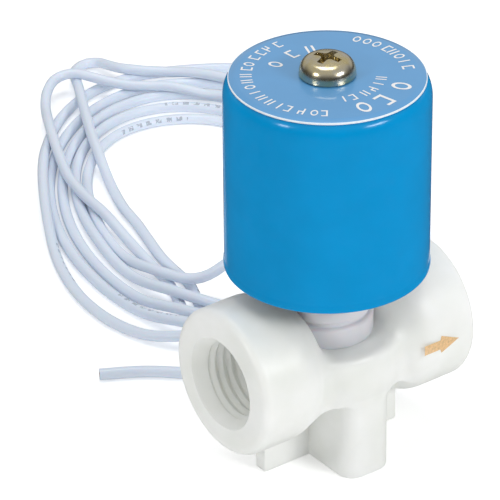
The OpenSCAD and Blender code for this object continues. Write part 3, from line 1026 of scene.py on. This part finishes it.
def at_exit():
    """Turns +X to the direction in which the leads leave."""
    return Matrix.Rotation(math.radians(LAY_TURN + 90), 4, "Z")


def oblong(p, half_w, half_h):
    """Distance from an oblong bar's side, across the exit."""
    y, z = np.maximum(np.abs(p[..., 1]) - half_w, 0), p[..., 2] - EXIT_Z
    return np.hypot(y, z) - half_h


def slot_tool():
    """The hole in the can's wall."""
    def field(p):
        return np.maximum(oblong(p, 1.5, 1.55), np.abs(p[..., 0] - 14.8) - 2)

    made = surface_net("slot_tool", field, (12, -4, EXIT_Z - 3), (18, 4, EXIT_Z + 3), 0.2)
    return turned(made, at_exit())


def grommet():
    """The rubber bush round the two leads, with a rounded lip outside."""
    def field(p):
        stem = np.maximum(oblong(p, 1.5, 1.5), np.abs(p[..., 0] - 14.6) - 1.1)
        lip = np.maximum(oblong(p, 1.5, 2.2), np.abs(p[..., 0] - 15.0) - 1.2)
        lip = np.maximum(lip, CAN_R + 0.02 - np.hypot(p[..., 0], p[..., 1]))
        both = soft_min(stem, lip, 0.3)
        for side in (-1.2, 1.2):
            hole = np.hypot(p[..., 1] - side, p[..., 2] - EXIT_Z) - 0.93
            both = -soft_min(-both, hole, 0.2)
        return both

    made = surface_net("grommet", field, (13, -4.4, EXIT_Z - 3), (17, 4.4, EXIT_Z + 3), 0.14)
    painted(made, plain_plastic("Grommet rubber", "#2A2B2D", 0.55, 0.3))
    return smooth(turned(made, at_exit()), 35)


class VALVE_OT_label(bpy.types.Operator):
    """Makes the round label and its printed marks"""
    bl_idname = "valve.label"
    bl_label = "Label"

    def execute(self, context):
        props = context.scene.valve_coil
        low, top = LABEL_LOW[2], LABEL_HIGH[2]
        # Its edge follows the can's shoulder down.
        label = lathe("label", rounded([
            (2.2, top, 0), (LABEL_R - 1, top, 2), (LABEL_R - 0.05, top - 0.22, 0.1),
            (LABEL_R - 0.05, low - 0.2, 0.05), (LABEL_R - 1, low, 2), (2.2, low, 0)], 4), 240)
        painted(label, label_film(props))
        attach(label, VALVE)
        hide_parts("name_label")
        white = print_ink("White label print", srgb("#EAF2F8"))
        rim = lathe("label_edge", rounded([
            (LABEL_R - 0.12, top - 0.19, 0), (LABEL_R, top - 0.24, 0), (LABEL_R, low - 0.16, 0),
            (LABEL_R - 0.12, low - 0.18, 0)]), 240)
        painted(rim, white)
        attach(rim, VALVE)
        marks = joined("label_marks", [mark_arc(f"marks_{i}", top + 0.02, white, i, *arc)
                                       for i, arc in enumerate(MARK_ARCS)])
        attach(marks, VALVE)
        return {"FINISHED"}


MARK_TREE = "Marks along an arc"
# Plain marks in arcs: radius in mm, first angle and sweep in degrees, count, height in mm.
MARK_ARCS = [(11.6, -90, -140, 17, 1.7), (11.7, 69, -56, 8, 1.8), (8.0, 158, -50, 3, 2.3),
             (7.7, -72, 64, 6, 1.6), (11.0, -62, 44, 3, 3.1)]


def mark_tree():
    """Node tree that sets small plain marks along an arc: bars, pairs of bars, rings and marks of three
    bars.
    """
    tree = bpy.data.node_groups.new(MARK_TREE, "GeometryNodeTree")
    for name, kind in (("Radius", "Float"), ("Start", "Float"), ("Sweep", "Float"), ("Count", "Int"),
                       ("Height", "Float"), ("Seed", "Int"), ("Material", "Material")):
        tree.interface.new_socket(name, in_out="INPUT", socket_type="NodeSocket" + kind)
    tree.interface.new_socket("Geometry", in_out="OUTPUT", socket_type="NodeSocketGeometry")
    given = add_node(tree, "NodeGroupInput").outputs

    def scaled(factor):
        size = add_node(tree, "ShaderNodeMath", {"operation": "MULTIPLY"}, {0: given["Height"], 1: factor})
        return size.outputs[0]

    def bar(width, height, x=0.0, y=0.0):
        sheet = add_node(tree, "GeometryNodeMeshGrid", None, {
            "Size X": scaled(width), "Size Y": scaled(height), "Vertices X": 2, "Vertices Y": 2})
        place = add_node(tree, "ShaderNodeCombineXYZ", None, {0: scaled(x), 1: scaled(y)})
        return add_node(tree, "GeometryNodeTransform", None, {
            "Geometry": sheet.outputs[0], "Translation": place.outputs[0]}).outputs[0]

    def disc(radius):
        return add_node(tree, "GeometryNodeCurvePrimitiveCircle", None, {
            "Resolution": 20, "Radius": scaled(radius)}).outputs[0]

    def together(*parts):
        group = add_node(tree, "GeometryNodeJoinGeometry")
        for part in parts:
            tree.links.new(part, group.inputs[0])
        return group.outputs[0]

    ring = add_node(tree, "GeometryNodeFillCurve", None, {
        "Curve": together(disc(0.4), disc(0.26))}).outputs[0]
    tall_ring = add_node(tree, "GeometryNodeTransform", None, {
        "Geometry": ring, "Scale": (0.8, 1.2, 1)}).outputs[0]
    shapes = [
        together(bar(0.15, 1), bar(0.4, 0.15, 0.275, 0.425), bar(0.4, 0.15, 0.275, -0.425)),
        together(bar(0.15, 1, -0.2), bar(0.15, 1, 0.2)),
        tall_ring,
        together(bar(0.15, 1, -0.15), bar(0.25, 0.15, 0.05, 0), bar(0.15, 0.575, 0.25, 0.2125)),
        bar(0.15, 1),
    ]
    choices = add_node(tree, "GeometryNodeGeometryToInstance")
    for shape in shapes:
        tree.links.new(shape, choices.inputs[0])
    arc = add_node(tree, "GeometryNodeCurveArc", {"mode": "RADIUS"}, {
        "Resolution": 64, "Radius": given["Radius"],
        "Start Angle": given["Start"], "Sweep Angle": given["Sweep"]})
    spots = add_node(tree, "GeometryNodeCurveToPoints", None, {
        "Curve": arc.outputs[0], "Count": given["Count"]})
    kind = add_node(tree, "FunctionNodeRandomValue", {"data_type": "INT"})
    for key, value in ((4, 0), (5, len(shapes) - 1)):
        kind.inputs[key].default_value = value
    tree.links.new(given["Seed"], kind.inputs["Seed"])
    place = add_node(tree, "GeometryNodeInputPosition").outputs[0]
    facing = add_node(tree, "FunctionNodeAlignRotationToVector", {"axis": "Y"}, {
        "Vector": place}).outputs[0]
    marks = add_node(tree, "GeometryNodeInstanceOnPoints", None, {
        "Points": spots.outputs["Points"], "Instance": choices.outputs[0], "Pick Instance": True,
        "Instance Index": kind.outputs[2], "Rotation": facing})
    solid = add_node(tree, "GeometryNodeRealizeInstances", None, {"Geometry": marks.outputs[0]})
    inked = add_node(tree, "GeometryNodeSetMaterial", None, {
        "Geometry": solid.outputs[0], "Material": given["Material"]})
    add_node(tree, "NodeGroupOutput", None, {0: inked.outputs[0]})
    return tree


def mark_arc(name, height, ink, seed, radius, start, sweep, count, tall):
    """One arc of marks on the label."""
    made = obj_from(name, [], [])
    marks = made.modifiers.new("marks", "NODES")
    tree = bpy.data.node_groups.get(MARK_TREE) or mark_tree()
    marks.node_group = tree
    names = {item.name: item.identifier for item in tree.interface.items_tree if item.in_out == "INPUT"}
    for key, value in (("Radius", radius), ("Start", math.radians(start + LAY_TURN)),
                       ("Sweep", math.radians(sweep)), ("Count", count), ("Height", tall),
                       ("Seed", seed + 3), ("Material", ink)):
        marks[names[key]] = value
    baked(made)
    return turned(made, Matrix.Translation((0, 0, height * MM)) @ Matrix.Diagonal((MM, MM, MM, 1)))


class VALVE_OT_screw(bpy.types.Operator):
    """Makes the cross-recess pan-head screw"""
    bl_idname = "valve.screw"
    bl_label = "Screw"

    def execute(self, context):
        props = context.scene.valve_coil
        seat, top, end = LABEL_HIGH[2], SCREW_HIGH[2], SCREW_LOW[2]
        height = top - seat
        crown, rim = 2.5, 0.2
        dome = [(HEAD_R - 0.02 - (HEAD_R - crown) * (1 - math.cos(a)),
                 seat + rim * height + (0.9 - rim) * height * math.sin(a)) for a in np.linspace(0, 1.45, 12)]
        r1, z1 = dome[-1]
        dome += [(r1 * (1 - t), z1 + (top - z1) * (1 - (1 - t) ** 2)) for t in np.linspace(0.12, 0.98, 8)]
        outline = [(0, end), (1.6, end), (1.98, end + 0.4), (1.98, seat), (HEAD_R - 0.25, seat),
                   (HEAD_R, seat + 0.2)] + dome + [(0, top)]
        screw = lathe("centre_screw", outline, 120)
        cut_away(screw, cross_tool(top))
        smooth(screw, 38)
        painted(screw, yellow_zinc(props))
        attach(screw, VALVE)
        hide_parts("housing_screw")
        return {"FINISHED"}


def cross_tool(top):
    """A cross recess: four tapered wings round a blunt point."""
    turn, reach, width, depth = math.radians(20), 2.15, 0.5, 1.8

    def field(p):
        c, s = math.cos(turn), math.sin(turn)
        x = np.abs(p[..., 0] * c + p[..., 1] * s)
        y = np.abs(-p[..., 0] * s + p[..., 1] * c)
        down = top - p[..., 2]
        narrow = 1 - 0.28 * np.clip(down / depth, 0, 1)
        wing_a = np.maximum(x - reach * narrow, y - width * narrow)
        wing_b = np.maximum(y - reach * narrow, x - width * narrow)
        middle = np.hypot(x, y) - 0.95 * narrow
        shape = soft_min(np.minimum(wing_a, wing_b), middle, 0.25)
        return np.maximum(np.maximum(shape, down - depth), -down - 0.6)

    return surface_net("cross_tool", field, (-2.6, -2.6, top - 2.2), (2.6, 2.6, top + 1), 0.09)


def wire_coil(name, radius, wire, low, high, turns, sides=12, per=36):
    """A compression spring whose first and last turns are closed."""
    turn = np.linspace(0, turns, turns * per + 1)
    open_share = np.interp(turn, [1, 1.5, turns - 1.5, turns - 1], [0, 1, 1, 0])
    closed = wire * 2.02
    extra = (high - low - turns * closed) / (open_share.sum() / per)
    height = low + np.cumsum(closed + open_share * extra) / per
    height -= height[-1] - high
    round_it = np.stack([np.cos(2 * math.pi * turn), np.sin(2 * math.pi * turn)], 1)
    points = []
    for (x, y), z in zip(round_it, height):
        for k in range(sides):
            angle = 2 * math.pi * k / sides
            out = radius + wire * math.cos(angle)
            points.append((x * out, y * out, z + wire * math.sin(angle)))
    faces = []
    for i in range(len(turn) - 1):
        here, nxt = i * sides, (i + 1) * sides
        for k in range(sides):
            m = (k + 1) % sides
            faces.append((here + k, here + m, nxt + m, nxt + k))
    faces += [tuple(range(sides)), tuple(len(points) - 1 - k for k in range(sides))]
    return smooth(outwards(obj_from(name, points, faces)))


class VALVE_OT_spring(bpy.types.Operator):
    """Makes the return spring between plunger and fixed core"""
    bl_idname = "valve.spring"
    bl_label = "Return spring"

    def execute(self, context):
        wire, turns, lift = 0.2, 9, 1.5
        low, high = SPRING_LOW[2], SPRING_HIGH[2]
        radius = SPRING_HIGH[0] - wire
        spring = wire_coil("return_spring", radius, wire, low + wire, high - wire, turns)
        painted(spring, plain_metal("Spring wire, drawn", "#B4B5B8", 0.25, 0.1))
        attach(spring, VALVE)
        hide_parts("plunger_spring")
        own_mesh(spring)
        return {"FINISHED"}


class VALVE_OT_inner(bpy.types.Operator):
    """Gives the hidden parts their finishes"""
    bl_idname = "valve.inner"
    bl_label = "Inner parts"

    def execute(self, context):
        steel = plain_metal("Ferritic stainless, turned", "#A7A8AA", 0.3, 0.15, (0.05, 0.05, 1))
        finishes = {
            "core_tube": plain_metal("Stainless tube, drawn", "#B9BABC", 0.22, 0.3, (1, 1, 0.05)),
            "core_o_ring": plain_plastic("Nitrile rubber", "#1C1D1F", 0.6, 0.4),
            "fixed_core": steel,
            "plunger": steel,
            "plunger_seal": plain_plastic("Plunger rubber", "#5A3A28", 0.6, 0.4),
            "coil_bobbin": plain_plastic("Glass-filled nylon spool", "#E4E0D2", 0.5, 0.5),
            "coil_winding": wound_copper(),
            "winding_tape": plain_plastic("Polyester winding tape", "#D9BE55", 0.3, 2),
            "terminal_pins": plain_metal("Tinned brass", "#C9C6BC", 0.3, 0.2),
            "solder_sleeves": plain_plastic("Shrunk sleeve", "#E8E8E4", 0.45, 0.4),
            "inner_leads": plain_plastic("Vinyl insulation", "#CBD6E6", 0.4, 0.4),
            "flux_plate": plain_metal("Bright zinc on stamped steel", "#B9BDC2", 0.28, 0.6),
            "wave_washer": plain_metal("Spring strip", "#ABAEB2", 0.25, 0.3),
            "insulating_washer": plain_plastic("Pressed fibre", "#8A6B4C", 0.8, 0.3),
        }
        for node, material in finishes.items():
            mesh = frame["nodes"][node].data
            mesh.materials.clear()
            mesh.materials.append(material)
        return {"FINISHED"}


PIECES = [VALVE_OT_stage, VALVE_OT_leads, VALVE_OT_body, VALVE_OT_neck, VALVE_OT_can, VALVE_OT_label,
          VALVE_OT_screw, VALVE_OT_spring, VALVE_OT_inner]
SETTINGS = {"valve_stage": ValveStageSettings, "valve_body": ValveBodySettings,
            "valve_coil": ValveCoilSettings, "valve_leads": ValveLeadSettings}


class VALVE_PT_panel(bpy.types.Panel):
    """Lists the valve's pieces and their settings"""
    bl_label = "Solenoid valve"
    bl_idname = "VALVE_PT_panel"
    bl_space_type = "VIEW_3D"
    bl_region_type = "UI"
    bl_category = "Valve"

    def draw(self, context):
        for piece in PIECES:
            self.layout.operator(piece.bl_idname, text=piece.bl_label)
        for name, group in SETTINGS.items():
            box = self.layout.box()
            for key in group.__annotations__:
                box.prop(getattr(context.scene, name), key)


def register():
    for group in SETTINGS.values():
        bpy.utils.register_class(group)
    for name, group in SETTINGS.items():
        setattr(bpy.types.Scene, name, bpy.props.PointerProperty(type=group))
    for made in [*PIECES, VALVE_PT_panel]:
        bpy.utils.register_class(made)


def unregister():
    for made in reversed([*PIECES, VALVE_PT_panel]):
        bpy.utils.unregister_class(made)
    for name, group in SETTINGS.items():
        delattr(bpy.types.Scene, name)
        bpy.utils.unregister_class(group)


def main():
    register()
    for piece in PIECES:
        group, name = piece.bl_idname.split(".")
        getattr(getattr(bpy.ops, group), name)()


if __name__ == "__main__":
    main()
